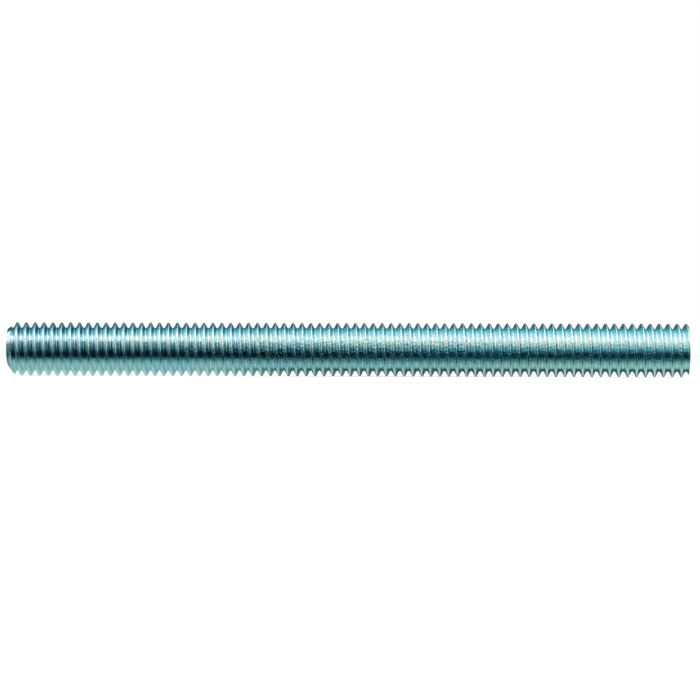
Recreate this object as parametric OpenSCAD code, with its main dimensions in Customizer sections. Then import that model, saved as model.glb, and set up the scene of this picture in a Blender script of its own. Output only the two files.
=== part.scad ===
// Threaded rod: one solid piece of steel bar with a thread along its whole length.
// It lies along X. Its axis is the X axis, and the origin is at the centre of the lead face,
// the chamfered end that goes into a nut first. The far end is cut off square.
// All sizes are in millimetres and all angles in degrees.

/* [Rod] */
// Length from the lead face to the cut face
rod_length = 76.3; // [30:0.1:120]

/* [Thread] */
// Major diameter, measured over the crests
major_d = 6; // [5:0.1:12]
// Axial distance from one crest to the next
pitch = 1; // [0.7:0.05:1.75]
// Angle between the two flanks of a groove
groove_angle = 60; // [55:1:70]
// Distance along the top line from the lead face to the first crest that is left whole
first_crest = 1.03; // [0.7:0.01:1.7]
// Which way the thread turns
hand = 1; // [1:Right hand, -1:Left hand]

/* [Lead end] */
// How far the chamfer cuts in below the crests at the lead face
chamfer_depth = 1; // [0.4:0.05:1.4]
// Slope of the chamfer, measured from the rod's axis
chamfer_slope = 45; // [35:1:55]
// How far the chamfer sits off centre, towards the top line
chamfer_offset = 0.53; // [0:0.01:0.6]
// Lean of the chamfer, which makes it shallow on top and steep below
chamfer_lean = 9; // [0:1:12]

/* [Hidden] */

zinc = [0.55, 0.72, 0.74];

// The flat on each crest and the flat at the bottom of each groove, as shares of the pitch.
// The bottom stands for a rounded one of the same depth.
crest_share = 1 / 8;
root_share = 1 / 6;

crest_r = major_d / 2;
crest_flat = crest_share * pitch;
root_flat = root_share * pitch;
flank_run = (pitch - crest_flat - root_flat) / 2;
groove_depth = flank_run / tan(groove_angle / 2);
root_r = crest_r - groove_depth;

// One pitch of the thread in section, as [distance along the axis, radius].
// It starts at the near edge of a crest flat, half the flat before the crest's middle.
section = [
    [-crest_flat / 2, crest_r],
    [crest_flat / 2, crest_r],
    [crest_flat / 2 + flank_run, root_r],
    [crest_flat / 2 + flank_run + root_flat, root_r]
];
corners = len(section);
last = corners - 1;

// The thread is swept past both ends and then trimmed, so its own closing faces are cut away.
lead_turns = floor(first_crest / pitch) + 2;
tail_turns = 1;
sweep_start = first_crest - lead_turns * pitch;
sweep_turns = (rod_length - sweep_start) / pitch + tail_turns;

// Facets round the rod. Each one costs two triangles for each corner of the section in every
// turn, so a longer rod or a finer pitch takes fewer of them, and the solid stays light.
// They come in fours, one for each quarter of the rod, so its full width shows from every side.
triangles = 11500;
most_facets = 48;
least_facets = 8;
wanted_facets = triangles / (2 * corners * sweep_turns);
facets = 4 * floor(max(least_facets, min(most_facets, wanted_facets)) / 4);
steps = ceil(facets * sweep_turns);

// The cutting shapes reach past the rod by this much.
cut_margin = 2;
cut_r = crest_r + chamfer_offset + cut_margin;
cut_length = (lead_turns + tail_turns) * pitch + cut_margin;
cut_fn = 96;

// The chamfer's cone, from a point well in front of the lead face out to the cutting radius.
face_r = crest_r - chamfer_depth;
cone_nose_r = face_r / 4;
cone_nose = (cone_nose_r - face_r) / tan(chamfer_slope);
cone_reach = (cut_r - face_r) / tan(chamfer_slope);

// Where corner k of the section lies after i steps of the sweep. The angle starts at the top
// line and comes round by the front, which makes the thread right-handed.
function swept(i, k) =
    let (angle = 360 * i / facets, r = section[k][1])
    [sweep_start + pitch * i / facets + section[k][0], -r * sin(angle), r * cos(angle)];

// The number of that point in the list of all points.
function at(i, k) = corners * i + k;

// Two triangles that close the four-cornered patch a, b, c, d.
function patch(a, b, c, d) = [[a, b, c], [a, c, d]];

// Triangles from one hub to every side of a closed edge.
function fan(hub, edge) =
    [for (j = [0 : len(edge) - 1]) [hub, edge[(j + 1) % len(edge)], edge[j]]];

// A helix of thread from before the lead face to past the cut face, closed at both ends
// by a fan of triangles about a point on the axis.
module swept_thread() {
    points = [for (i = [0 : steps]) for (k = [0 : last]) swept(i, k)];
    lead_hub = len(points);
    tail_hub = lead_hub + 1;
    hubs = [
        [sweep_start + pitch / 2, 0, 0],
        [sweep_start + pitch * (steps / facets - 1 / 2), 0, 0]
    ];

    // From corner to corner along the section.
    faces_of_section = [
        for (i = [0 : steps - 1]) for (k = [0 : last - 1])
            each patch(at(i, k), at(i + 1, k), at(i + 1, k + 1), at(i, k + 1))
    ];
    // From the last corner of one turn to the first corner of the next.
    faces_between_turns = [
        for (i = [0 : steps - 1 - facets])
            each patch(at(i, last), at(i + 1, last), at(i + 1 + facets, 0), at(i + facets, 0))
    ];
    // The open edge at each end: a turn of the helix, and the step across to its neighbour.
    lead_edge = concat([for (k = [last : -1 : 0]) at(0, k)], [for (i = [1 : facets]) at(i, 0)]);
    tail_edge = concat([for (k = [0 : last]) at(steps, k)],
        [for (i = [1 : facets]) at(steps - i, last)]);

    polyhedron(
        points = concat(points, hubs),
        faces = concat(faces_of_section, faces_between_turns, fan(lead_hub, lead_edge),
            fan(tail_hub, tail_edge))
    );
}

// A plain cylinder that takes away everything past one end, from x onwards.
module end_cut(x) {
    translate([x, 0, 0])
        rotate([0, 90, 0])
            cylinder(h = cut_length, r = cut_r, $fn = cut_fn);
}

// Everything outside the chamfer's cone, which leans and sits off centre as if ground by hand.
module chamfer_cut() {
    translate([0, 0, chamfer_offset])
        rotate([0, 90 + chamfer_lean, 0])
            rotate_extrude($fn = cut_fn)
                polygon([[cone_nose_r, cone_nose], [cut_r, cone_nose], [cut_r, cone_reach]]);
}

module threaded_rod() {
    color(zinc)
        mirror([0, hand < 0 ? 1 : 0, 0])
            difference() {
                swept_thread();
                end_cut(-cut_length);
                chamfer_cut();
                end_cut(rod_length);
            }
}

threaded_rod();
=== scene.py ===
# %% [markdown]
# # A threaded rod, zinc plated
#
# The object is one piece of steel bar with a fine screw thread rolled along its whole length. One
# end is chamfered, so that a nut starts on it, and the other is sawn off square. A bath of zinc
# left it bright, faintly blue-green and finely speckled.
#
# This lesson dresses a finished solid of that rod, which is loaded first and never moved. The
# solid's thread has flat facets. Here the same thread is made again as a fine mesh, with round
# groove bottoms and softened crests, and then it gets its metal, its light and a camera.
#
# The part lies along X with its lead face at X = 0, and Z points up. Blender works in metres.

# %% Load the solid
import math

import bpy
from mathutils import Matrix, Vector


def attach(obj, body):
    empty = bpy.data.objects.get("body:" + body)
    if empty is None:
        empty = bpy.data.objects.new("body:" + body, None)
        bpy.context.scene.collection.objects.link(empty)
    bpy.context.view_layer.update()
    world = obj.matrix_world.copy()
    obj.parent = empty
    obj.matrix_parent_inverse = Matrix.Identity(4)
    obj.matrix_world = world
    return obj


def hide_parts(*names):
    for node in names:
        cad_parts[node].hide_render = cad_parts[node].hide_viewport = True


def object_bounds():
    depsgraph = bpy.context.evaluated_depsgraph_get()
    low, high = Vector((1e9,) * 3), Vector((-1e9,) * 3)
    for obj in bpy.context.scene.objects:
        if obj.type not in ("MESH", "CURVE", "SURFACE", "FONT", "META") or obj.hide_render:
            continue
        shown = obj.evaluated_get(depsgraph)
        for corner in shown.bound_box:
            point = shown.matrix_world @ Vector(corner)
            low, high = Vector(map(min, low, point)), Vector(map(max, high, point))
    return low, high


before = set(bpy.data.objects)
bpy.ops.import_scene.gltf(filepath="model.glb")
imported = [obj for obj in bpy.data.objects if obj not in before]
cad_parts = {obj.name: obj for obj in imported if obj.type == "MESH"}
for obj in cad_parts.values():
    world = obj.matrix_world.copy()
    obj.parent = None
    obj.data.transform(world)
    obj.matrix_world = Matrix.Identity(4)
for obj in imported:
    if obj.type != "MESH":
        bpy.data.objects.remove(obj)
cad_low, cad_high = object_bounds()
print("solid's box, mm:", [round(1000 * v, 3) for v in (*cad_low, *cad_high)])

# %% [markdown]
# ## Sizes
#
# The length and the outer radius are read from the solid, so the fine mesh can't drift from it.
# The rest is the thread's own data: how far apart its crests are, where the first one lies, and
# how the chamfer was ground. The groove has the depth of the metric standard, as a share of the
# pitch. Its flanks lean a little less than the standard's 30 degrees. The mirror images in them
# are very sensitive to that angle, and this one spreads them along the rod as in the photo.

# %% Sizes of the rod
MM = 0.001
ROD_LENGTH = cad_high.x - cad_low.x
CREST_RADIUS = (cad_high.z - cad_low.z) / 2

PITCH = 1 * MM
FIRST_CREST = 1.03 * MM

CHAMFER_DEPTH = 1 * MM
CHAMFER_SLOPE = math.radians(45)
CHAMFER_OFFSET = 0.53 * MM
CHAMFER_LEAN = math.radians(9)

# Shares of the pitch: half a crest's flat, how far its corner is softened, and a groove's depth.
HALF_CREST = 0.08
CREST_SOFTNESS = 0.12
GROOVE_DEPTH = 0.6134
# How far a flank leans away from the plane square to the rod.
FLANK_LEAN = math.radians(28.5)
print("rod", round(ROD_LENGTH / MM, 2), "mm long,", round(2 * CREST_RADIUS / MM, 2), "mm across")

# %% [markdown]
# ## Small helpers for node trees
#
# Geometry and materials are both built from nodes below, and both need the same three things: a
# new node, a value or a link put into a socket, and a bit of arithmetic. Writing these once keeps
# each tree short enough to read as a recipe.


# %% Helpers for node trees
def put(tree, value, socket):
    """Link a socket's value into another, or set a plain one."""
    if isinstance(value, bpy.types.NodeSocket):
        tree.links.new(value, socket)
    else:
        socket.default_value = value


def add(tree, kind, inputs=None, **settings):
    """A new node, with its settings and its inputs by name or number."""
    made = tree.nodes.new(kind)
    for name, value in settings.items():
        setattr(made, name, value)
    for name, value in (inputs or {}).items():
        put(tree, value, made.inputs[name])
    return made


def calc(tree, operation, *values):
    """One Math node, which gives back its result."""
    made = add(tree, "ShaderNodeMath", operation=operation)
    for socket, value in zip(made.inputs, values):
        put(tree, value, socket)
    return made.outputs[0]


def times(tree, first, *others):
    """A product."""
    for other in others:
        first = calc(tree, "MULTIPLY", first, other)
    return first


def plus(tree, first, *others):
    """A sum."""
    for other in others:
        first = calc(tree, "ADD", first, other)
    return first


def less(tree, first, second):
    """A difference."""
    return calc(tree, "SUBTRACT", first, second)


def linear(tree, value, slope, start):
    """The value times a slope, added to a start."""
    return calc(tree, "MULTIPLY_ADD", value, slope, start)


def minus(tree, value):
    """The value with its sign turned."""
    return times(tree, value, -1.0)


def rest_of(tree, share):
    """What is left of 1."""
    return less(tree, 1.0, share)


def vector(tree, x, y, z):
    """Three numbers joined into a vector."""
    return add(tree, "ShaderNodeCombineXYZ", {"X": x, "Y": y, "Z": z}).outputs[0]


def parts(tree, value):
    """A vector's three numbers."""
    split = add(tree, "ShaderNodeSeparateXYZ", {0: value})
    return split.outputs["X"], split.outputs["Y"], split.outputs["Z"]


def noise(tree, here, often, detail, **more):
    """Noise that changes this often in a metre. With W it has a fourth dimension."""
    inputs = {"Vector": here, "Scale": often, "Detail": detail, **more}
    dimensions = "4D" if "W" in more else "3D"
    return add(tree, "ShaderNodeTexNoise", inputs, noise_dimensions=dimensions).outputs[0]


def changed(tree, kind, geometry, **inputs):
    """A geometry after one node has changed it."""
    return add(tree, "GeometryNode" + kind, {0: geometry, **inputs}).outputs[0]


def from_axis(tree, y, z):
    """The distance from the X axis."""
    squares = plus(tree, times(tree, y, y), times(tree, z, z))
    return calc(tree, "SQRT", squares)


# %% [markdown]
# ## The thread as a rolled-up sheet
#
# A screw thread is one groove wound round a bar. It could be made with the Screw modifier, but
# then the round bottoms and the softened crests would need a profile drawn by hand. Geometry
# Nodes can work from the rule itself instead.
#
# The tree starts with a flat grid. Across the grid runs one pitch of the thread, from one crest
# to the next. Along it runs the whole helix. Each point is moved to its place on the rod with a
# little arithmetic, and then the last column of each turn lies on the first column of the next.
# Merging the doubles sews the turns together into one skin.
#
# The depth of the groove comes in three stretches. The flank is a straight slope. A smooth
# maximum with zero softens the corner between the crest and the flank. Near the middle of the
# groove, an arc that touches both flanks takes over.


# %% The groove's depth
def groove_depth(tree, side):
    """Depth in pitches, from the distance to the nearest crest in pitches."""
    past_crest = less(tree, side, HALF_CREST)
    slope = calc(tree, "DIVIDE", past_crest, math.tan(FLANK_LEAN))
    flank = calc(tree, "SMOOTH_MAX", slope, 0.0, CREST_SOFTNESS)

    sharp_depth = (0.5 - HALF_CREST) / math.tan(FLANK_LEAN)
    root_radius = (sharp_depth - GROOVE_DEPTH) / (1 / math.sin(FLANK_LEAN) - 1)
    from_bottom = less(tree, 0.5, side)
    arc_half_width = root_radius * math.cos(FLANK_LEAN)
    inside = calc(tree, "MINIMUM", from_bottom, arc_half_width)
    square = times(tree, inside, inside)
    rise = calc(tree, "SQRT", less(tree, root_radius**2, square))
    arc = plus(tree, GROOVE_DEPTH - root_radius, rise)

    in_arc = calc(tree, "LESS_THAN", from_bottom, arc_half_width)
    chosen = add(tree, "ShaderNodeMix", {"Factor": in_arc, "A": flank, "B": arc})
    return chosen.outputs["Result"]


# %% [markdown]
# ## From grid to rod
#
# The sheet is wound three turns too far at the lead end and two at the other, so its open rims
# lie outside the rod. Each rim is closed by pulling out its edges and gathering their far points
# into one hub on the axis. The result is a closed solid, which is what a boolean needs.


# %% Winding the sheet
LEAD_TURNS = 3
TAIL_TURNS = 2
COLUMNS = 20
FACETS = 56.0
# Points nearer to each other than this are sewn into one.
SEWING = 2e-6


def wound_sheet(tree, sizes):
    """The grid, moved to its place on the rod and sewn turn to turn."""
    lead_in = times(tree, sizes["Pitch"], LEAD_TURNS)
    start = less(tree, sizes["First Crest"], lead_in)
    reach = calc(tree, "DIVIDE", less(tree, sizes["Length"], start), sizes["Pitch"])
    turns = plus(tree, reach, TAIL_TURNS)
    steps = calc(tree, "CEIL", times(tree, turns, sizes["Facets"]))
    rows = plus(tree, steps, 1)
    grid = add(tree, "GeometryNodeMeshGrid",
               {"Size X": 1.0, "Size Y": 1.0, "Vertices X": COLUMNS + 1, "Vertices Y": rows})

    here = parts(tree, add(tree, "GeometryNodeInputPosition").outputs[0])
    across = plus(tree, here[0], 0.5)
    along = plus(tree, here[1], 0.5)
    turn = calc(tree, "DIVIDE", times(tree, along, steps), sizes["Facets"])
    side = calc(tree, "MINIMUM", across, rest_of(tree, across))
    depth = times(tree, groove_depth(tree, side), sizes["Pitch"])
    radius = less(tree, sizes["Crest Radius"], depth)

    angle = times(tree, turn, 2 * math.pi)
    x = linear(tree, plus(tree, turn, across), sizes["Pitch"], start)
    y = times(tree, radius, minus(tree, calc(tree, "SINE", angle)))
    z = times(tree, radius, calc(tree, "COSINE", angle))
    placed = changed(tree, "SetPosition", grid.outputs["Mesh"], Position=vector(tree, x, y, z))
    return changed(tree, "MergeByDistance", placed, Distance=SEWING)


# %% Closing the rims
# How far past each end a rim's hub lies, in pitches.
HUB_REACH = 1.5


def closed_rims(tree, skin, sizes):
    """Both open rims gathered into a hub on the axis."""
    beside = add(tree, "GeometryNodeInputMeshEdgeNeighbors").outputs["Face Count"]
    open_edge = calc(tree, "COMPARE", beside, 1.0, 0.1)
    pulled = add(tree, "GeometryNodeExtrudeMesh",
                 {"Mesh": skin, "Selection": open_edge, "Offset Scale": 0.0}, mode="EDGES")

    x, _, _ = parts(tree, add(tree, "GeometryNodeInputPosition").outputs[0])
    at_tail = calc(tree, "GREATER_THAN", x, times(tree, sizes["Length"], 0.5))
    lead_hub = times(tree, sizes["Pitch"], -HUB_REACH)
    tail_hub = linear(tree, sizes["Pitch"], HUB_REACH, sizes["Length"])
    hub_x = add(tree, "ShaderNodeMix", {"Factor": at_tail, "A": lead_hub, "B": tail_hub})
    hub = vector(tree, hub_x.outputs["Result"], 0.0, 0.0)
    gathered = changed(tree, "SetPosition", pulled.outputs["Mesh"], Position=hub,
                       Selection=pulled.outputs["Top"])
    closed = changed(tree, "MergeByDistance", gathered, Distance=SEWING)
    return changed(tree, "FlipFaces", closed)


# %% [markdown]
# ## Wear on the crests
#
# Rolled crests are never perfectly even, and a rod that has rattled about with others has small
# dents in them. A slow noise takes up to a few hundredths of a millimetre off the crests, and the
# peaks of a finer one press in the dents. Both only take metal away, so the rod never grows past
# the size that a nut expects.


# %% Uneven crests and small dents
# The wear fades out this far below the crests, in pitches.
WORN_BAND = 0.2
# For each noise: changes in a metre, detail, the level to pass, and the strength above it.
SLOW_WEAR = (420.0, 2.0, 0.42, 0.7)
DENTS = (1500.0, 1.0, 0.66, 4.0)


def peaks(tree, here, seed, often, detail, level, strength):
    """The parts of a noise above a level."""
    above = less(tree, noise(tree, here, often, detail, W=seed), level)
    return times(tree, calc(tree, "MAXIMUM", above, 0.0), strength)


def worn(tree, skin, sizes, seed):
    """The skin with its crests a little uneven and dented."""
    here = add(tree, "GeometryNodeInputPosition").outputs[0]
    _, y, z = parts(tree, here)
    radius = from_axis(tree, y, z)
    below = less(tree, sizes["Crest Radius"], radius)
    crest_band = times(tree, sizes["Pitch"], WORN_BAND)
    crest = calc(tree, "MAXIMUM", rest_of(tree, calc(tree, "DIVIDE", below, crest_band)), 0.0)

    taken = plus(tree, peaks(tree, here, seed, *SLOW_WEAR), peaks(tree, here, seed, *DENTS))
    taken = times(tree, taken, crest, sizes["Wear"])
    share = calc(tree, "DIVIDE", taken, radius)
    inward = vector(tree, 0.0, times(tree, y, share), times(tree, z, share))
    back = add(tree, "ShaderNodeVectorMath", {0: inward, "Scale": -1.0}, operation="SCALE")
    return changed(tree, "SetPosition", skin, Offset=back.outputs[0])


# %% [markdown]
# ## Cutting the ends
#
# The rod is what the worn thread shares with two plain shapes. A cylinder as long as the rod cuts
# both ends square. A wide cone that opens along the rod leaves the chamfer. The cone leans and
# sits off centre, as on the real one, whose chamfer was ground by hand: shallow above and deep
# below.


# %% Cutting the ends
ROUND = 128
# In rod radii, in radii of the lead face and in rod lengths.
BLANK_SHARE = 1.5
NOSE_SHARE = 0.25
CONE_SHARE = 1.5


def end_shapes(tree, sizes):
    """The cylinder and the cone whose common part with the thread is the rod."""
    blank_radius = times(tree, sizes["Crest Radius"], BLANK_SHARE)
    blank = add(tree, "GeometryNodeMeshCylinder",
                {"Vertices": ROUND, "Radius": blank_radius, "Depth": sizes["Length"]})
    half = times(tree, sizes["Length"], 0.5)
    laid = changed(tree, "Transform", blank.outputs["Mesh"], Rotation=(0.0, math.pi / 2, 0.0),
                   Translation=vector(tree, half, 0.0, 0.0))

    face_radius = less(tree, sizes["Crest Radius"], sizes["Chamfer Depth"])
    slope = calc(tree, "TANGENT", sizes["Chamfer Slope"])
    nose_radius = times(tree, face_radius, NOSE_SHARE)
    nose = calc(tree, "DIVIDE", less(tree, nose_radius, face_radius), slope)
    depth = times(tree, sizes["Length"], CONE_SHARE)
    far_radius = linear(tree, depth, slope, nose_radius)
    cone = add(tree, "GeometryNodeMeshCone",
               {"Vertices": ROUND, "Radius Top": far_radius, "Radius Bottom": nose_radius,
                "Depth": depth})
    seated = changed(tree, "Transform", cone.outputs["Mesh"],
                     Translation=vector(tree, 0.0, 0.0, nose))
    lean = plus(tree, sizes["Chamfer Lean"], math.pi / 2)
    leaning = changed(tree, "Transform", seated, Rotation=vector(tree, 0.0, lean, 0.0),
                      Translation=vector(tree, 0.0, 0.0, sizes["Chamfer Offset"]))
    return laid, leaning


def common_part(tree, *solids):
    """What all the solids share."""
    made = add(tree, "GeometryNodeMeshBoolean", operation="INTERSECT", solver="MANIFOLD")
    for solid in solids:
        tree.links.new(solid, made.inputs["Mesh 2"])
    return made.outputs["Mesh"]


# %% [markdown]
# ## Materials for each surface
#
# Three surfaces were made in three ways: the rolled thread, the ground lead end and the sawn far
# end. The tree tells them apart by where a face is and which way it points, and gives each one
# its own material. Blender needs the materials to exist first, so they start empty here and are
# filled in later.


# %% The tree and its inputs
rolled_zinc = bpy.data.materials.new("rolled_zinc")
ground_zinc = bpy.data.materials.new("ground_zinc")
sawn_steel = bpy.data.materials.new("sawn_steel")

SIZES = {
    "Length": ROD_LENGTH,
    "Crest Radius": CREST_RADIUS,
    "Pitch": PITCH,
    "First Crest": FIRST_CREST,
    "Facets": FACETS,
    "Chamfer Depth": CHAMFER_DEPTH,
    "Chamfer Slope": CHAMFER_SLOPE,
    "Chamfer Offset": CHAMFER_OFFSET,
    "Chamfer Lean": CHAMFER_LEAN,
    "Wear": 0.12 * MM,
    "Seed": 7.0,
}
print("inputs of the tree:", ", ".join(SIZES))


def named_inputs(tree):
    """The group's inputs, one for each size, and the node that holds them."""
    tree.interface.new_socket("Geometry", in_out="INPUT", socket_type="NodeSocketGeometry")
    for name in SIZES:
        tree.interface.new_socket(name, in_out="INPUT", socket_type="NodeSocketFloat")
    tree.interface.new_socket("Geometry", in_out="OUTPUT", socket_type="NodeSocketGeometry")
    return tree.nodes.new("NodeGroupInput").outputs


# %% Choosing a material for each face
# How far a face's normal points along X, from -1 to 1.
GROUND_BELOW = -0.45
SAWN_ABOVE = 0.99


def dressed(tree, rod, sizes):
    """The rod with its three materials."""
    x, _, _ = parts(tree, add(tree, "GeometryNodeInputPosition").outputs[0])
    nx, _, _ = parts(tree, add(tree, "GeometryNodeInputNormal").outputs[0])
    at_lead = calc(tree, "LESS_THAN", x, sizes["Chamfer Depth"])
    faces_out = calc(tree, "LESS_THAN", nx, GROUND_BELOW)
    ground = times(tree, at_lead, faces_out)
    sawn = calc(tree, "GREATER_THAN", nx, SAWN_ABOVE)

    rod = changed(tree, "SetMaterial", rod, Material=rolled_zinc)
    rod = changed(tree, "SetMaterial", rod, Material=ground_zinc, Selection=ground)
    return changed(tree, "SetMaterial", rod, Material=sawn_steel, Selection=sawn)


def thread_tree():
    """The whole recipe, from a flat grid to the finished rod."""
    tree = bpy.data.node_groups.new("rolled_thread", "GeometryNodeTree")
    sizes = named_inputs(tree)
    skin = wound_sheet(tree, sizes)
    solid = closed_rims(tree, skin, sizes)
    solid = worn(tree, solid, sizes, sizes["Seed"])
    rod = common_part(tree, solid, *end_shapes(tree, sizes))
    real = changed(tree, "RealizeInstances", rod)
    put(tree, dressed(tree, real, sizes), tree.nodes.new("NodeGroupOutput").inputs[0])
    return tree


# %% [markdown]
# ## Making the mesh
#
# The tree sits in a modifier on an empty mesh. Each input of the modifier is set by its socket's
# identifier, because two inputs may share a name. The evaluated result is then copied into a
# plain mesh, and the modifier goes away with the object that held it.


# %% Run the tree
def in_scene(name, data):
    """A new object in the scene."""
    made = bpy.data.objects.new(name, data)
    bpy.context.scene.collection.objects.link(made)
    return made


def run_tree(tree, name):
    """A plain mesh object made by a geometry tree with the sizes above."""
    holder = in_scene("holder", bpy.data.meshes.new("holder"))
    maker = holder.modifiers.new("thread", "NODES")
    maker.node_group = tree
    for socket in tree.interface.items_tree:
        if socket.in_out == "INPUT" and socket.name in SIZES:
            maker[socket.identifier] = SIZES[socket.name]

    depsgraph = bpy.context.evaluated_depsgraph_get()
    mesh = bpy.data.meshes.new_from_object(holder.evaluated_get(depsgraph))
    mesh.name = name
    bpy.data.objects.remove(holder)
    return in_scene(name, mesh)


rod = run_tree(thread_tree(), "rolled_rod")
triangles = sum(len(face.vertices) - 2 for face in rod.data.polygons)
print("rolled rod:", len(rod.data.vertices), "points,", triangles, "triangles")

# %% [markdown]
# ## Smooth shading
#
# The thread is round, so its faces are shaded smooth. The rims where a cut meets the thread stay
# crisp: any edge that bends by more than the angle below is marked sharp.

# %% Shade the thread smooth
CRISP_ANGLE = math.radians(42)
rod.data.shade_smooth()
rod.data.set_sharp_from_angle(angle=CRISP_ANGLE)
print("materials:", [m.name for m in rod.data.materials])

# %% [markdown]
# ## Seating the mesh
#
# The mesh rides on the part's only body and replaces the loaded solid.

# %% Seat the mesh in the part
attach(rod, "root")
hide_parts("threaded_rod")


# %% [markdown]
# ## Shader groups
#
# The rod has three materials, and they share some effects: where a point lies on the thread, fine
# grain, and the plating's drifting tint. Each effect is a node group, made once and placed in each
# material with its own values. A group only puts out numbers and colours. The metal itself, a
# Principled BSDF, stays in the material.


# %% Make and place a group
def new_group(name, inputs, outputs):
    """An empty shader group, the sockets that come in and the sockets that go out."""
    group = bpy.data.node_groups.new(name, "ShaderNodeTree")
    for direction, sockets in (("INPUT", inputs), ("OUTPUT", outputs)):
        for title, kind in sockets.items():
            group.interface.new_socket(title, in_out=direction, socket_type="NodeSocket" + kind)
    given = group.nodes.new("NodeGroupInput").outputs
    return group, given, group.nodes.new("NodeGroupOutput").inputs


def place(tree, group, **values):
    """A group placed in a tree, with its inputs set. An underscore stands for a space."""
    made = add(tree, "ShaderNodeGroup", node_tree=group)
    for name, value in values.items():
        put(tree, value, made.inputs[name.replace("_", " ")])
    return made.outputs


def tell(name, tree):
    """Print how many nodes a tree has."""
    print(name + ":", len(tree.nodes), "nodes")


def object_place(tree):
    """The point's place in the part, in metres."""
    return add(tree, "ShaderNodeTexCoord").outputs["Object"]


def smooth_step(tree, value, low, high):
    """0 below low and 1 above high, with a soft passage between them."""
    made = add(tree, "ShaderNodeMapRange", {"Value": value, "From Min": low, "From Max": high},
               interpolation_type="SMOOTHSTEP")
    return made.outputs["Result"]


def blend_colour(tree, share, first, second):
    """A mix of two colours."""
    made = add(tree, "ShaderNodeMix", data_type="RGBA")
    put(tree, share, made.inputs[0])
    for value, socket in ((first, made.inputs[6]), (second, made.inputs[7])):
        put(tree, (*value, 1.0) if isinstance(value, tuple) else value, socket)
    return made.outputs[2]


# %% [markdown]
# ## Where a point lies on the thread
#
# Most marks on a rolled thread run along it, because the dies drag over the metal that way. So a
# pattern has to know where a point lies across the thread, from one crest to the next. That
# follows from its place in the part: one turn round the axis moves the thread on by one pitch.
# The same rule made the mesh, so the marks and the metal agree.


# %% Group: place on the thread
def thread_place_group():
    """Across runs from 0 to 1 between two crests. From Crest is 0 on a crest and 0.5 in a root."""
    group, given, out = new_group("thread_place",
                                  {"Pitch": "Float", "First Crest": "Float"},
                                  {"Across": "Float", "From Crest": "Float"})
    x, y, z = parts(group, object_place(group))
    angle = calc(group, "ARCTAN2", minus(group, y), z)
    turn = calc(group, "DIVIDE", angle, 2 * math.pi)
    past_first = less(group, x, given["First Crest"])
    pitches = calc(group, "DIVIDE", past_first, given["Pitch"])
    across = calc(group, "FRACT", less(group, pitches, turn))
    put(group, across, out["Across"])
    put(group, calc(group, "MINIMUM", across, rest_of(group, across)), out["From Crest"])
    return group


thread_place = thread_place_group()
tell("thread place", thread_place)


# %% [markdown]
# ## Lines, grain and tint
#
# Rolling leaves fine lines along the thread. The pattern for them is noise that changes fast
# across the thread and slowly along it. Across goes from 0 to 1 and starts again, so it is bent
# into a circle first, and then the noise has no seam at the crests.
#
# Zinc settles as tiny crystals, which scatter the light in specks about a tenth of a millimetre
# wide. And the thin blue-green film on top of it is never quite even, so its tint drifts. On top
# of that drift the colour has a painted reflection tint: the upper side is made bluer, and the
# lower side greener towards the cut end.


# %% Group: lines along the thread
# How often the lines change in a metre, round the rod and along it.
ROUND_CHANGES = 260.0
LENGTH_CHANGES = 700.0
# Most of a noise lies between these levels, so they are spread over 0 to 1.
NOISE_LEVELS = (0.3, 0.7)


def thread_lines_group():
    """Lines from 0 to 1. Count is roughly how many there are between two crests."""
    group, given, out = new_group("thread_lines", {"Across": "Float", "Count": "Float"},
                                  {"Lines": "Float"})
    angle = times(group, given["Across"], 2 * math.pi)
    radius = calc(group, "DIVIDE", given["Count"], 2 * math.pi)
    x, y, z = parts(group, object_place(group))
    bent = vector(group, times(group, calc(group, "COSINE", angle), radius),
                  times(group, calc(group, "SINE", angle), radius), times(group, z, ROUND_CHANGES))
    along = plus(group, times(group, x, LENGTH_CHANGES), times(group, y, ROUND_CHANGES))
    found = noise(group, bent, 1.0, 2.0, W=along)
    put(group, smooth_step(group, found, *NOISE_LEVELS), out["Lines"])
    return group


thread_lines = thread_lines_group()
tell("thread lines", thread_lines)


# %% Group: grain
# The radius of a speck, in grains.
SPECK_RADIUS = 0.38


def grain_group():
    """Grain from 0 to 1, and a few bright specks. Size is the width of a grain in metres."""
    group, given, out = new_group("grain", {"Size": "Float", "Speck Share": "Float"},
                                  {"Grain": "Float", "Specks": "Float"})
    scale = calc(group, "DIVIDE", 1.0, given["Size"])
    here = object_place(group)
    found = noise(group, here, scale, 2.0, Roughness=0.6)
    put(group, smooth_step(group, found, *NOISE_LEVELS), out["Grain"])

    cells = add(group, "ShaderNodeTexVoronoi", {"Vector": here, "Scale": scale})
    near = calc(group, "LESS_THAN", cells.outputs["Distance"], SPECK_RADIUS)
    lucky, _, _ = parts(group, cells.outputs["Color"])
    chosen = calc(group, "LESS_THAN", lucky, given["Speck Share"])
    put(group, times(group, near, chosen), out["Specks"])
    return group


grain = grain_group()
tell("grain", grain)


# %% Group: the plating's tint, with a painted reflection tint
# Changes in a metre, and the levels of noise that count as none and all.
PATCHES, PATCH_LEVELS = 330.0, (0.45, 0.7)
DRIFT, DRIFT_LEVELS = 90.0, (0.45, 0.65)
# How blue the patches are, and how much painted reflection blue the upper side gets.
PATCH_BLUE, PAINTED_UPPER_BLUE = 0.55, 0.5
# The heights from the axis over which the painted reflection tint turns, bluer above and greener
# below, and where green comes in along the rod.
PAINTED_SIDE_HEIGHTS = (0.2 * MM, 2.6 * MM)
GREENING = (0.45 * ROD_LENGTH, ROD_LENGTH)


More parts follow.
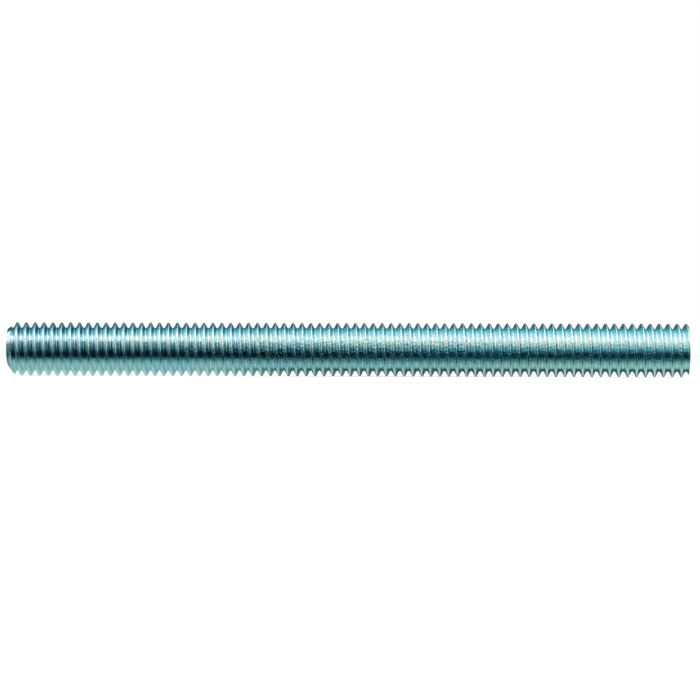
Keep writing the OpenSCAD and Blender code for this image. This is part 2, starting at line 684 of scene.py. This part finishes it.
def film_tint_and_painted_reflection_group():
    """A colour that drifts between three tints of the same film, with a painted reflection tint:
    bluer on the upper side, greener on the lower side towards the cut end.
    """
    tints = {"Teal": "Color", "Blue": "Color", "Green": "Color"}
    group, given, out = new_group("film_tint_and_painted_reflection", tints, {"Color": "Color"})
    here = object_place(group)
    x, _, z = parts(group, here)
    # Painted reflection tint: the upper side is made bluer.
    high = smooth_step(group, z, *PAINTED_SIDE_HEIGHTS)
    patchy = smooth_step(group, noise(group, here, PATCHES, 2.0), *PATCH_LEVELS)
    blue = linear(group, patchy, PATCH_BLUE, times(group, high, PAINTED_UPPER_BLUE))
    # Painted reflection tint: the lower side is made greener towards the cut end.
    low = smooth_step(group, minus(group, z), *PAINTED_SIDE_HEIGHTS)
    far = smooth_step(group, x, *GREENING)
    drift = smooth_step(group, noise(group, here, DRIFT, 1.0), *DRIFT_LEVELS)
    green = times(group, plus(group, drift, low), far)
    bluish = blend_colour(group, calc(group, "MINIMUM", blue, 1.0), given["Teal"], given["Blue"])
    both = blend_colour(group, calc(group, "MINIMUM", green, 1.0), bluish, given["Green"])
    put(group, both, out["Color"])
    return group


film_tint_and_painted_reflection = film_tint_and_painted_reflection_group()
tell("plating tint", film_tint_and_painted_reflection)


# %% Colours of the zinc
TEAL = (0.53, 0.755, 0.745)
BLUE = (0.46, 0.71, 0.80)
GREEN = (0.585, 0.765, 0.715)
BARE_CREST = (0.52, 0.62, 0.66)
DULL_CREST = (0.34, 0.56, 0.58)
# Used for dulling by grain and lines, and for painted shade in the groove bottoms.
DULL_ZINC_AND_ROOT_SHADE = (0.30, 0.48, 0.50)
BRIGHT_SPECK = (0.60, 0.86, 0.88)


def bare_metal(material):
    """The material's tree with only a metal surface in it, and that surface."""
    material.use_nodes = True
    tree = material.node_tree
    surface = tree.nodes["Principled BSDF"]
    surface.inputs["Metallic"].default_value = 1.0
    return tree, surface.inputs


def relief(tree, height, depth):
    """A normal that shows a height from 0 to 1 as relief of the given depth in metres."""
    bump = add(tree, "ShaderNodeBump", {"Height": height, "Strength": 1.0, "Distance": depth})
    return bump.outputs["Normal"]


# %% [markdown]
# ## Rolled zinc
#
# The colour of a metal is the share of the light that it gives back. In a groove the light
# bounces off both flanks before it comes out, so the same colour looks much deeper there than on
# a crest, with nothing painted on. What the material adds is the grain, the lines and the specks,
# in its colour, in its roughness and as relief, and two painted effects in its colour: painted
# shade in the groove bottoms, and a painted reflection tint, bluer above and greener below.
#
# Two things follow the thread's own shape. The crests are a little rougher. Near the lead end,
# where nuts were started, they are rubbed bare and grey, and further on they are only dull. And
# the bottoms of the grooves are darkened in colour, as painted shade.
# The middle of the rod is lumpier and more speckled than its ends.


# %% Material: rolled zinc
# Along the rod: where its handled end stops, and where the lumps fade.
HANDLED = (12 * MM, 36 * MM)
EVENER = (45 * MM, 70 * MM)
# Across the thread, in pitches from a crest: the crest itself and the groove's bottom, which gets
# painted shade.
ON_CREST = (0.03, 0.12)
ROOT_SHADE_SPAN = (0.38, 0.5)
# How much grain, the roots' painted shade and the crests change the colour, and how much
# handling hides the specks.
GRAIN_DULLS, ROOT_PAINTED_SHADE, CREST_TINT, SPECKS_LOST = 0.5, 0.35, 0.5, 0.8
# The plain metal's roughness, and what the rest adds to it.
PLAIN, GRAIN_ADDS, LUMPS_ADD = 0.06, 0.12, 0.08
SPECKS_ADD, CREST_ADDS, HANDLING_ADDS = 0.3, 0.05, 0.09
# The relief, and the heights in it.
ZINC_RELIEF = 0.013 * MM
GRAIN_HEIGHT, LINE_HEIGHT = 0.45, 0.15
EVEN_LUMPS, MORE_LUMPS, LUMPS_LOST = 0.6, 0.85, 0.6


def zinc_colour(tree, fine, lines, from_crest, crest, handled, specks):
    """The tint of the film, dulled by grain and lines and by painted shade in the groove bottoms,
    worn on the crests and lighter in specks.
    """
    # The tint carries the painted reflection tint: bluer above, greener below.
    tint = place(tree, film_tint_and_painted_reflection, Teal=(*TEAL, 1), Blue=(*BLUE, 1), Green=(*GREEN, 1))["Color"]
    dull = times(tree, fine["Grain"], lines, GRAIN_DULLS)
    # Painted shade: the groove bottoms are darkened towards the dull zinc colour.
    root = times(tree, smooth_step(tree, from_crest, *ROOT_SHADE_SPAN), ROOT_PAINTED_SHADE)
    darker = blend_colour(tree, calc(tree, "MAXIMUM", dull, root), tint, DULL_ZINC_AND_ROOT_SHADE)
    rubbed = blend_colour(tree, handled, DULL_CREST, BARE_CREST)
    worn_tint = blend_colour(tree, times(tree, crest, CREST_TINT), darker, rubbed)
    return blend_colour(tree, specks, worn_tint, BRIGHT_SPECK)


def zinc_roughness(tree, fine, coarse, crest, handled, specks):
    """Uneven by grain, lumps and specks, and rougher on the crests."""
    uneven = plus(tree, times(tree, fine["Grain"], GRAIN_ADDS), times(tree, coarse, LUMPS_ADD))
    uneven = linear(tree, specks, SPECKS_ADD, uneven)
    scuffed = linear(tree, handled, HANDLING_ADDS, CREST_ADDS)
    return plus(tree, linear(tree, crest, scuffed, uneven), PLAIN)


def zinc_height(tree, x, fine, coarse, lines, handled, specks):
    """The relief's height: grain, lines, lumps and specks."""
    height = plus(tree, times(tree, fine["Grain"], GRAIN_HEIGHT), times(tree, lines, LINE_HEIGHT))
    grainy = linear(tree, smooth_step(tree, x, *EVENER), -LUMPS_LOST, 1.0)
    grainy = times(tree, grainy, rest_of(tree, handled))
    uneven = linear(tree, grainy, MORE_LUMPS, EVEN_LUMPS)
    lumps = times(tree, coarse, uneven)
    return plus(tree, height, lumps, specks)


def make_rolled_zinc():
    """The zinc on the thread."""
    tree, surface = bare_metal(rolled_zinc)
    spot = place(tree, thread_place, Pitch=PITCH, First_Crest=FIRST_CREST)
    lines = place(tree, thread_lines, Across=spot["Across"], Count=14.0)["Lines"]
    fine = place(tree, grain, Size=0.11 * MM, Speck_Share=0.03)
    coarse = place(tree, grain, Size=0.3 * MM, Speck_Share=0.0)["Grain"]

    x, _, _ = parts(tree, object_place(tree))
    from_crest = spot["From Crest"]
    handled = rest_of(tree, smooth_step(tree, x, *HANDLED))
    crest = rest_of(tree, smooth_step(tree, from_crest, *ON_CREST))
    kept = linear(tree, handled, -SPECKS_LOST, 1.0)
    specks = times(tree, fine["Specks"], kept)

    put(tree, zinc_colour(tree, fine, lines, from_crest, crest, handled, specks),
        surface["Base Color"])
    put(tree, zinc_roughness(tree, fine, coarse, crest, handled, specks), surface["Roughness"])
    height = zinc_height(tree, x, fine, coarse, lines, handled, specks)
    put(tree, relief(tree, height, ZINC_RELIEF), surface["Normal"])


make_rolled_zinc()
tell("rolled zinc", rolled_zinc.node_tree)


# %% [markdown]
# ## The two ends
#
# The chamfer and the lead face were ground before the plating, and the wheel left rings round the
# axis. The face is rougher than the chamfer. The other end was sawn after the plating, so the
# steel is bare there: greyer, rougher and crossed by the marks of the saw, which all run one way.


# %% Material: ground zinc
GROUND_TINTS = {"Teal": (0.60, 0.74, 0.72, 1), "Blue": (0.52, 0.68, 0.74, 1),
                "Green": (0.64, 0.74, 0.66, 1)}
GROUND_DARK = (0.36, 0.48, 0.48)
GROUND_SPECK = (0.9, 0.93, 0.9)
# The rings' changes in a metre, their levels of noise, and how much they darken the metal.
ACROSS_RINGS, ALONG_RINGS = 9000.0, 500.0
RING_LEVELS, RINGS_DULL = (0.35, 0.65), 0.45
# Where the lead face ends along X, its roughness, and how much smoother the chamfer is.
OFF_FACE = (0.01 * MM, 0.05 * MM)
FACE_ROUGH, CHAMFER_SMOOTHER = 0.34, 0.26


def make_ground_zinc():
    """The zinc on the lead face and its chamfer, with rings round the axis."""
    tree, surface = bare_metal(ground_zinc)
    x, y, z = parts(tree, object_place(tree))
    turned = vector(tree, times(tree, from_axis(tree, y, z), ACROSS_RINGS),
                    times(tree, x, ACROSS_RINGS), times(tree, z, ALONG_RINGS))
    rings = noise(tree, turned, 1.0, 2.0)
    fine = place(tree, grain, Size=0.12 * MM, Speck_Share=0.05)
    # The tint carries the painted reflection tint: bluer above, greener below.
    tint = place(tree, film_tint_and_painted_reflection, **GROUND_TINTS)["Color"]
    lined = times(tree, smooth_step(tree, rings, *RING_LEVELS), RINGS_DULL)
    darker = blend_colour(tree, lined, tint, GROUND_DARK)
    put(tree, blend_colour(tree, fine["Specks"], darker, GROUND_SPECK), surface["Base Color"])
    rough = linear(tree, smooth_step(tree, x, *OFF_FACE), -CHAMFER_SMOOTHER, FACE_ROUGH)
    put(tree, linear(tree, fine["Grain"], 0.12, rough), surface["Roughness"])
    height = plus(tree, rings, times(tree, fine["Grain"], 0.5))
    put(tree, relief(tree, height, 0.008 * MM), surface["Normal"])


make_ground_zinc()
tell("ground zinc", ground_zinc.node_tree)


# %% Material: sawn steel
STEEL_DARK = (0.38, 0.385, 0.39)
STEEL_BRIGHT = (0.58, 0.58, 0.575)
STEEL_SPECK = (0.8, 0.8, 0.79)
# How far the marks climb across the face, and how far they bow.
MARK_SLANT, MARK_BOW = 0.35, 25.0
# Their changes in a metre and their levels of noise.
ACROSS_MARKS, ALONG_MARKS = 5200.0, 260.0
MARK_LEVELS = (0.32, 0.68)


def make_sawn_steel():
    """Bare steel with saw marks."""
    tree, surface = bare_metal(sawn_steel)
    _, y, z = parts(tree, object_place(tree))
    slant = linear(tree, y, MARK_SLANT, z)
    bowed = linear(tree, times(tree, y, y), MARK_BOW, slant)
    sawn = vector(tree, times(tree, bowed, ACROSS_MARKS), times(tree, y, ALONG_MARKS), 0.0)
    marks = noise(tree, sawn, 1.0, 3.0)
    fine = place(tree, grain, Size=0.09 * MM, Speck_Share=0.02)
    steel = blend_colour(tree, smooth_step(tree, marks, *MARK_LEVELS), STEEL_DARK, STEEL_BRIGHT)
    put(tree, blend_colour(tree, fine["Specks"], steel, STEEL_SPECK), surface["Base Color"])
    put(tree, linear(tree, fine["Grain"], 0.18, 0.26), surface["Roughness"])
    height = plus(tree, marks, times(tree, fine["Grain"], 0.3))
    put(tree, relief(tree, height, 0.04 * MM), surface["Normal"])


make_sawn_steel()
tell("sawn steel", sawn_steel.node_tree)

# %% [markdown]
# ## Floor and background
#
# The rod lies on a pale floor against a white background. The world is white to the camera and in
# reflections, and a little dimmer as a light. The floor is an ordinary matt surface that also
# glows a little, again only to the camera and in reflections, so that it reaches the background's
# white and still holds the rod's soft shadow.


# %% What the camera and the metal see
def seen_directly(tree):
    """1 for a camera, glossy or transmission ray, and 0 for any other."""
    paths = add(tree, "ShaderNodeLightPath").outputs
    seen = calc(tree, "MAXIMUM", paths["Is Camera Ray"], paths["Is Glossy Ray"])
    return calc(tree, "MAXIMUM", seen, paths["Is Transmission Ray"])


def empty_tree(owner):
    """The cleared node tree of a material or world."""
    owner.use_nodes = True
    owner.node_tree.nodes.clear()
    return owner.node_tree


def show(tree, surface):
    """Make a shader the material's surface."""
    put(tree, surface.outputs[0], add(tree, "ShaderNodeOutputMaterial").inputs["Surface"])


def white_world(as_light):
    """White to look at, and dimmer as a light."""
    world = bpy.data.worlds.new("studio")
    tree = empty_tree(world)
    strength = add(tree, "ShaderNodeMix", {"Factor": seen_directly(tree), "A": as_light, "B": 1.0})
    sky = add(tree, "ShaderNodeBackground",
              {"Color": (1, 1, 1, 1), "Strength": strength.outputs["Result"]})
    put(tree, sky.outputs[0], add(tree, "ShaderNodeOutputWorld").inputs["Surface"])
    bpy.context.scene.world = world


def stage_mesh(name, corners, faces, material):
    """A mesh that belongs to the studio and not to the part."""
    mesh = bpy.data.meshes.new(name)
    mesh.from_pydata(corners, [], faces)
    mesh.materials.append(material)
    made = in_scene(name, mesh)
    return made


def floor_material(glow):
    """Matt and pale, with a glow that only the camera and reflections see."""
    material = bpy.data.materials.new("pale_floor")
    tree = empty_tree(material)
    matt = add(tree, "ShaderNodeBsdfDiffuse", {"Color": (0.9, 0.9, 0.9, 1)})
    strength = times(tree, seen_directly(tree), glow)
    light = add(tree, "ShaderNodeEmission", {"Color": (1, 1, 1, 1), "Strength": strength})
    show(tree, add(tree, "ShaderNodeAddShader", {0: matt.outputs[0], 1: light.outputs[0]}))
    return material


FLOOR_HALF = 2.0
FLOOR_Z = cad_low.z
white_world(as_light=0.6)
floor_corners = [(FLOOR_HALF * x, FLOOR_HALF * y, FLOOR_Z)
                 for x, y in ((-1, -1), (1, -1), (1, 1), (-1, 1))]
stage_mesh("floor", floor_corners, [(0, 1, 2, 3)], floor_material(glow=0.4))
print("floor:", 2 * FLOOR_HALF, "m square, at", round(FLOOR_Z / MM, 2), "mm")

# %% [markdown]
# ## Light for a shiny bar
#
# A bar of metal has little look of its own: it shows what stands round it, pressed into bands.
# On the real one a bright band lies above the middle, a nearly black one just below it and a pale
# one under that.
#
# So a tunnel of light stands round the rod: half a cylinder over it and a strip just above the
# floor. Its brightness follows the angle round the rod's axis, and each row of the table below
# becomes a band on the metal. It is only there in reflections: the camera doesn't see it, and it
# casts no shadow. An ordinary lamp lights the floor.
#
# Near the lead end the real rod shows harder contrasts, as if the soft light stopped short there.
# So the table has two columns, and the tunnel passes from one to the other along its length. The
# place where it does is further along for low light than for high light.


# %% Light round the rod
# For each angle, the light at the lead end and along the rest of the rod. The angle goes up from
# the camera's side: 90 is straight up, -90 is straight down and 180 is away from the camera.
ROUND_LIGHT = [
    (-180, 0.30, 0.05),
    (-150, 0.40, 0.05),
    (-137, 0.55, 0.30),
    (-126, 0.68, 0.42),
    (-116, 0.65, 0.18),
    (-106, 0.62, 0.04),
    (-96, 0.65, 0.03),
    (-86, 0.75, 0.09),
    (-80, 0.78, 0.33),
    (-74, 0.82, 0.76),
    (-64, 0.88, 0.85),
    (-54, 0.78, 0.66),
    (-43, 0.40, 0.27),
    (-38, 0.06, 0.14),
    (-34, 0.013, 0.03),
    (-16, 0.006, 0.02),
    (-6, 0.012, 0.15),
    (9, 0.035, 0.82),
    (22, 0.08, 1.45),
    (36, 0.15, 1.62),
    (44, 0.40, 1.72),
    (50, 1.40, 1.78),
    (60, 2.60, 2.15),
    (70, 2.40, 1.95),
    (84, 0.50, 1.75),
    (105, 0.08, 1.40),
    (140, 0.08, 0.45),
    (160, 0.09, 0.15),
    (180, 0.09, 0.15),
]
TUNNEL_RADIUS = 0.12
TUNNEL_REACH = 0.1
TUNNEL_STEPS = 48
print("tunnel:", len(ROUND_LIGHT), "angles,", round(2 * TUNNEL_RADIUS, 2), "m across")


def round_ramp(tree, angle, lights):
    """A colour ramp that gives the light at each angle."""
    share = add(tree, "ShaderNodeMapRange",
                {"Value": angle, "From Min": -math.pi, "From Max": math.pi}).outputs["Result"]
    ramp = add(tree, "ShaderNodeValToRGB", {0: share})
    stops = ramp.color_ramp.elements
    while len(stops) < len(lights):
        stops.new(1.0)
    for stop, (degrees, light) in zip(stops, lights):
        stop.position = (degrees + 180) / 360
        stop.color = (light, light, light, 1)
    return ramp.outputs["Color"]


# %% Light along the tunnel
# Where the lead end's light gives way to the rest: for low light, for high light and on the floor.
# SLANT is the angles between which the first place moves to the second.
LOW_EDGE = 42 * MM
HIGH_EDGE = 3 * MM
SLANT = (25, 75)
FLOOR_EDGE = 27 * MM
# It does so over a short stretch, and over a longer one on the floor behind the rod.
EDGE_BLUR = 6 * MM
MORE_BLUR = 20 * MM
# Past the lead face, the floor behind the rod darkens, and the chamfer shows that. The floor in
# front of it is less dark there than beside the rod, and the lead face shows that.
DARK_FLOOR = (-14 * MM, -6 * MM)
DARKER_BY = 0.8
PALE_FLOOR = (-10 * MM, -4 * MM)
PALE_LIGHT = 0.5
# Degrees below the level: where the floor starts, where it gets the longer blur, where it
# darkens, and where the pale floor in front starts and stops.
FLOOR_FROM = (34, 48)
BLUR_FROM = (90, 110)
DARK_FROM = (80, 100)
PALE_FROM, PALE_TO = (0, 8), (30, 40)


def share_past(tree, angle, start, full):
    """0 up to one angle and 1 from another on, both in degrees."""
    return smooth_step(tree, angle, math.radians(start), math.radians(full))


def share_below(tree, angle, start, full):
    """The same for degrees below the level."""
    return share_past(tree, minus(tree, angle), start, full)


def lead_or_rest(tree, x, angle, on_floor):
    """The table's two columns, blended along the tunnel."""
    at_lead = round_ramp(tree, angle, [(turn, lead) for turn, lead, _ in ROUND_LIGHT])
    further = round_ramp(tree, angle, [(turn, rest) for turn, _, rest in ROUND_LIGHT])
    low, high = (math.radians(degrees) for degrees in SLANT)
    slant = add(tree, "ShaderNodeMapRange",
                {"Value": angle, "From Min": low, "From Max": high,
                 "To Min": LOW_EDGE, "To Max": HIGH_EDGE}).outputs["Result"]
    edge = add(tree, "ShaderNodeMix", {"Factor": on_floor, "A": slant, "B": FLOOR_EDGE})
    past_edge = less(tree, x, edge.outputs["Result"])
    blur = linear(tree, share_below(tree, angle, *BLUR_FROM), MORE_BLUR, EDGE_BLUR)
    share = smooth_step(tree, past_edge, minus(tree, blur), blur)
    return blend_colour(tree, share, at_lead, further)


def tunnel_light(tree, x, angle, on_floor):
    """The light at a place in the tunnel."""
    light = lead_or_rest(tree, x, angle, on_floor)
    before_rod = rest_of(tree, smooth_step(tree, x, *DARK_FLOOR))
    shaded = times(tree, before_rod, share_below(tree, angle, *DARK_FROM))
    light = times(tree, light, linear(tree, shaded, -DARKER_BY, 1.0))

    in_front = less(tree, share_below(tree, angle, *PALE_FROM), share_below(tree, angle, *PALE_TO))
    near_lead = rest_of(tree, smooth_step(tree, x, *PALE_FLOOR))
    lifted = times(tree, near_lead, in_front, PALE_LIGHT)
    return calc(tree, "MAXIMUM", light, lifted)


# %% [markdown]
# ## The colour of the light
#
# On the real rod the dark bands are bluer than the bright ones, so the dim light has less red in
# it and a little more blue. A power of the brightness does that smoothly. The floor and the wall
# behind the rod are plainer, and there the powers are nearer to zero.
#
# Two more things change towards the cut end. The pale band below gets a little brighter, and the
# lower edge of the bright band above turns a warm white.

# %% Material: the tunnel
# The powers that red and blue follow, and the light at which both are 1.
DIM_RED = 1.3
DIM_RED_ON_FLOOR = 0.3
DIM_BLUE = -0.17
FULL_LIGHT = 1.7
# A little is added to the light first, because no power is taken of zero.
LEAST_LIGHT = 0.01
# What the cut end adds: light on the floor, and a warmer light between some angles. The wall
# behind the rod starts at the last ones.
TAIL = (0.6 * ROD_LENGTH, 1.1 * ROD_LENGTH)
TAIL_GAIN = 0.15
TAIL_RED = 0.8
TAIL_BLUE = -0.15
WARM_FROM, WARM_TO = (15, 45), (58, 78)
BEHIND_FROM = (140, 170)


def tunnel_colour(tree, light, angle, on_floor):
    """The red and the blue of the light, where green is 1."""
    behind = share_past(tree, angle, *BEHIND_FROM)
    plain = plus(tree, on_floor, behind)
    red_power = linear(tree, on_floor, DIM_RED_ON_FLOOR - DIM_RED, DIM_RED)
    red_power = linear(tree, behind, -DIM_RED, red_power)
    blue_power = linear(tree, plain, -DIM_BLUE, DIM_BLUE)
    brightness = calc(tree, "DIVIDE", plus(tree, light, LEAST_LIGHT), FULL_LIGHT)
    return calc(tree, "POWER", brightness, red_power), calc(tree, "POWER", brightness, blue_power)


def tunnel_material():
    """Light by the angle round the X axis and by the place along it."""
    material = bpy.data.materials.new("tunnel_light")
    tree = empty_tree(material)
    x, y, z = parts(tree, object_place(tree))
    angle = calc(tree, "ARCTAN2", z, minus(tree, y))
    on_floor = share_below(tree, angle, *FLOOR_FROM)
    tail = smooth_step(tree, x, *TAIL)

    light = tunnel_light(tree, x, angle, on_floor)
    gain = linear(tree, times(tree, tail, on_floor), TAIL_GAIN, 1.0)
    light = times(tree, light, gain)
    red, blue = tunnel_colour(tree, light, angle, on_floor)
    warm = less(tree, share_past(tree, angle, *WARM_FROM), share_past(tree, angle, *WARM_TO))
    warm = times(tree, warm, tail)
    red = times(tree, red, linear(tree, warm, TAIL_RED, 1.0))
    blue = times(tree, blue, linear(tree, warm, TAIL_BLUE, 1.0))
    tinted = add(tree, "ShaderNodeCombineColor", {"Red": red, "Green": 1.0, "Blue": blue})
    glow = add(tree, "ShaderNodeEmission", {"Color": tinted.outputs[0], "Strength": light})
    show(tree, glow)
    return material


# %% Build the tunnel
# How far the strip of light lies above the floor.
ABOVE_FLOOR = 0.02 * MM


def only_in_reflections(thing):
    """Hide something from everything but glossy rays."""
    thing.visible_camera = False
    thing.visible_diffuse = False
    thing.visible_shadow = False
    thing.visible_transmission = False


def light_tunnel():
    """Half a cylinder over the rod and a strip just above the floor, open at both ends."""
    floor_card_z = FLOOR_Z + ABOVE_FLOOR
    outline = [(TUNNEL_RADIUS, floor_card_z), (-TUNNEL_RADIUS, floor_card_z)]
    for step in range(TUNNEL_STEPS + 1):
        angle = math.pi * step / TUNNEL_STEPS
        outline.append((-TUNNEL_RADIUS * math.cos(angle), TUNNEL_RADIUS * math.sin(angle)))
    outline.append(outline[0])

    ends = (-TUNNEL_REACH, ROD_LENGTH + TUNNEL_REACH)
    corners = [(x, y, z) for y, z in outline for x in ends]
    faces = [(2 * i, 2 * i + 1, 2 * i + 3, 2 * i + 2) for i in range(len(outline) - 1)]
    only_in_reflections(stage_mesh("light_tunnel", corners, faces, tunnel_material()))
    print("light tunnel:", len(faces), "faces,", round(ends[1] - ends[0], 3), "m long")


light_tunnel()


# %% Close the tunnel's lead end
END_CARD_DARK = 14 * MM
END_CARD_BRIGHT = 36 * MM
CARD_BELOW = (0.20, 0.29, 0.28)
CARD_ABOVE = (1.5, 1.5, 1.5)


def end_card():
    """A card across the tunnel's lead end, dark below and bright above, for the chamfer."""
    material = bpy.data.materials.new("end_card_light")
    tree = empty_tree(material)
    _, _, z = parts(tree, object_place(tree))
    bright = smooth_step(tree, z, END_CARD_DARK, END_CARD_BRIGHT)
    light = blend_colour(tree, bright, CARD_BELOW, CARD_ABOVE)
    glow = add(tree, "ShaderNodeEmission", {"Color": light, "Strength": 1.0})
    show(tree, glow)
    x, y = -TUNNEL_REACH, TUNNEL_RADIUS
    corners = [(x, -y, FLOOR_Z), (x, y, FLOOR_Z), (x, y, y), (x, -y, y)]
    only_in_reflections(stage_mesh("end_card", corners, [(0, 1, 2, 3)], material))


end_card()
print("end card: from dark to bright at", [round(z / MM) for z in (END_CARD_DARK, END_CARD_BRIGHT)])


# %% [markdown]
# ## Lamp and camera
#
# One wide lamp on the camera's side lights the floor and gives the rod its soft shadow. The metal
# doesn't reflect it, because the tunnel already holds everything that the metal should show.
#
# The camera stands at the rod's own height and far off, behind a long lens. So the near and the
# far side of the thread look equally large, as they do in the photo.


# %% Aim a lamp
def aim(thing, target):
    """Turn a lamp or camera so that it looks at a point."""
    thing.rotation_euler = (target - thing.location).to_track_quat("-Z", "Y").to_euler()


def softbox(name, elevation, distance, width, height, power):
    """A wide lamp on the camera's side, at an elevation seen from the rod."""
    lamp = bpy.data.lights.new(name, "AREA")
    lamp.shape = "RECTANGLE"
    lamp.size = width
    lamp.size_y = height
    lamp.energy = power
    made = in_scene(name, lamp)
    middle = Vector((ROD_LENGTH / 2, 0.0, 0.0))
    rise = math.radians(elevation)
    made.location = middle + distance * Vector((0.0, -math.cos(rise), math.sin(rise)))
    aim(made, middle)
    made.visible_glossy = False
    return made


key = softbox("key", elevation=55, distance=0.8, width=0.7, height=0.4, power=1.6)
print("key lamp:", round(key.data.energy, 2), "W, at", [round(v, 3) for v in key.location], "m")


# %% Camera
def camera():
    """A long lens at the rod's own height, framed as a square picture."""
    distance = 0.36
    frame_width = 78.52 * MM
    turn = math.radians(1.3)
    roll = math.radians(0.15)
    lens_data = bpy.data.cameras.new("camera")
    lens_data.sensor_width = 36
    lens_data.lens = lens_data.sensor_width * distance / frame_width
    lens_data.clip_start = 0.01
    lens_data.clip_end = 10
    made = in_scene("camera", lens_data)
    middle = Vector((ROD_LENGTH / 2 + 0.28 * MM, 0.0, -0.036 * MM))
    made.location = middle + distance * Vector((math.sin(turn), -math.cos(turn), 0.0))
    aim(made, middle)
    made.rotation_euler.rotate_axis("Z", roll)
    return made


bpy.context.scene.camera = camera()
bpy.context.scene.view_settings.view_transform = "Standard"
print("camera: lens of", round(bpy.context.scene.camera.data.lens, 1), "mm")
